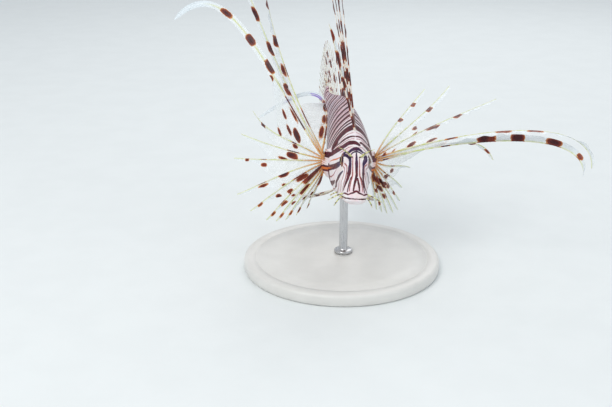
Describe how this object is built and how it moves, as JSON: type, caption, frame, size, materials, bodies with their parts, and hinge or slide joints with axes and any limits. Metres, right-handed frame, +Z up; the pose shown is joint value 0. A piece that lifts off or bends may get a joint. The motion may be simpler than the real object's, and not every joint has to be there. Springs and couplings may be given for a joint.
{
  "type": "red lionfish display model",
  "caption": "Life-size still model of a red lionfish with banded body, venomous spines and spread fan-like fins, held up by a rod on a round base.",
  "frame": {"origin": "centre of the flat underside of the round base of the stand", "axes": "+Z up, away from the surface the stand rests on; the fish faces -Y and its left side is towards +X"},
  "size_m": [0.2686, 0.2009, 0.1962],
  "materials": {
    "skin": "satin painted skin with fine scales, cream to pink ground with maroon and red-brown bars",
    "fin": "thin translucent whitish skin between cream rays, with dark red-brown spots",
    "spine": "satin, banded in maroon and cream, with a narrow ribbon of skin behind each spine",
    "eye": "wet gloss, black pupil and dark red-brown iris",
    "flap": "satin, mottled yellow-green and brown",
    "stand_paint": "satin off-white lacquer",
    "stand_steel": "brushed along its length"
  },
  "bodies": {
    "root": {"anal_fin": "fin", "brow_tentacle_left": "flap", "brow_tentacle_right": "flap", "caudal_fin": "fin", "cheek_tab_left": "flap", "cheek_tab_right": "flap", "eye_left": "eye", "eye_right": "eye", "head": "skin", "lip_tab_long_left": "flap", "lip_tab_long_right": "flap", "lip_tab_short_left": "flap", "lip_tab_short_right": "flap", "lower_jaw": "skin", "pectoral_fin_left": "fin", "pectoral_fin_right": "fin", "pectoral_lobe_left": "skin", "pectoral_lobe_right": "skin", "pelvic_fin_left": "fin", "pelvic_fin_right": "fin", "soft_dorsal_fin": "fin", "spiny_dorsal_fin": "spine", "stand_base": "stand_paint", "stand_rod": "stand_steel", "tail_stalk": "skin", "trunk": "skin"}
  },
  "joints": []
}
